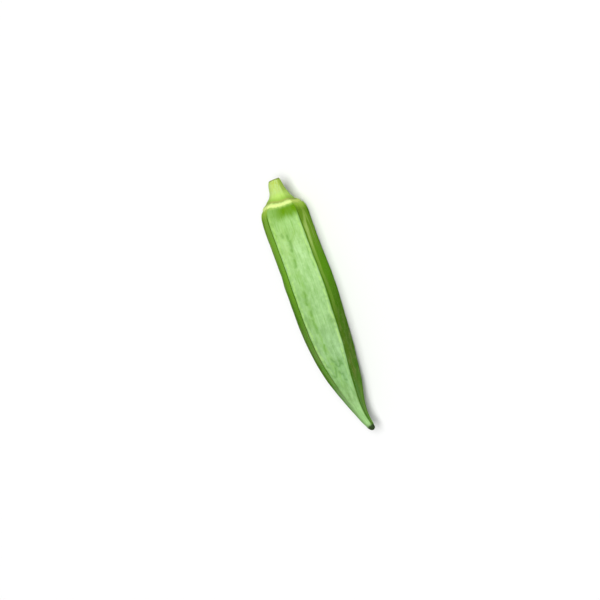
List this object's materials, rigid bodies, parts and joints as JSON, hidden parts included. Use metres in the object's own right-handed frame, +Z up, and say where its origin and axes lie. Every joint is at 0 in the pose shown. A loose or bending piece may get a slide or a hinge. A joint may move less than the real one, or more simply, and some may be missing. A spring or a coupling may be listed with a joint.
{
  "type": "okra pod",
  "caption": "Okra pod lying on one side: short cut stalk, flared cup with a raised ring, ridged tapering body and a bowed, blunt beak.",
  "frame": {"origin": "under the middle of the pod's bounding box, on the surface that it lies on", "axes": "+X from the tip towards the cut stalk, along the pod's length; +Z up; the middle of the pod bows towards +Y"},
  "size_m": [0.12, 0.0242, 0.0214],
  "materials": {
    "pod_skin": "soft downy vegetable skin, pale green with darker green sides, satin where it is bare"
  },
  "bodies": {
    "root": {"okra_pod": "pod_skin"}
  },
  "joints": []
}
